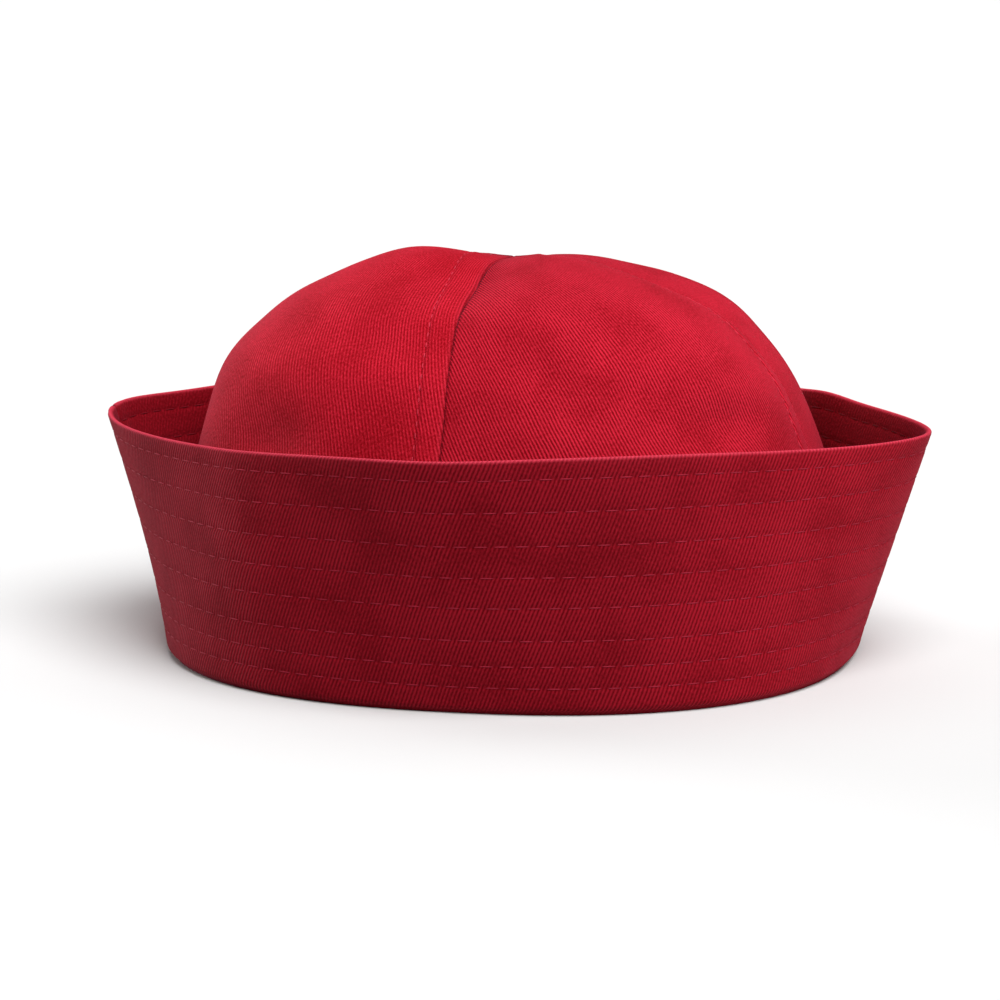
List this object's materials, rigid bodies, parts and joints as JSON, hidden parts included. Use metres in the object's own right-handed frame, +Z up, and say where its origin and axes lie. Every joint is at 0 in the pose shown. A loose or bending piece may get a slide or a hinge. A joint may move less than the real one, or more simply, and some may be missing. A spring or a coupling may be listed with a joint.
{
  "type": "sailor cap",
  "caption": "Soft cotton cap with a domed crown of sewn gores inside a deep, stitched, turned-up brim that flares to a narrow oval rim.",
  "frame": {"origin": "on the resting surface, under the middle of the cap", "axes": "+Z up; +X along the long axis of the head, towards the wearer's front; the side that the picture shows faces -Y"},
  "size_m": [0.2454, 0.2085, 0.1206],
  "materials": {
    "brim_twill": "matt red cotton twill, double, with rows of stitching in the same red",
    "crown_twill": "matt red cotton twill, single, with pressed and stitched seams"
  },
  "bodies": {
    "root": {"brim": "brim_twill", "gore_back_right": "crown_twill", "gore_front_right": "crown_twill", "gore_front_left": "crown_twill", "gore_back_left": "crown_twill"}
  },
  "joints": []
}
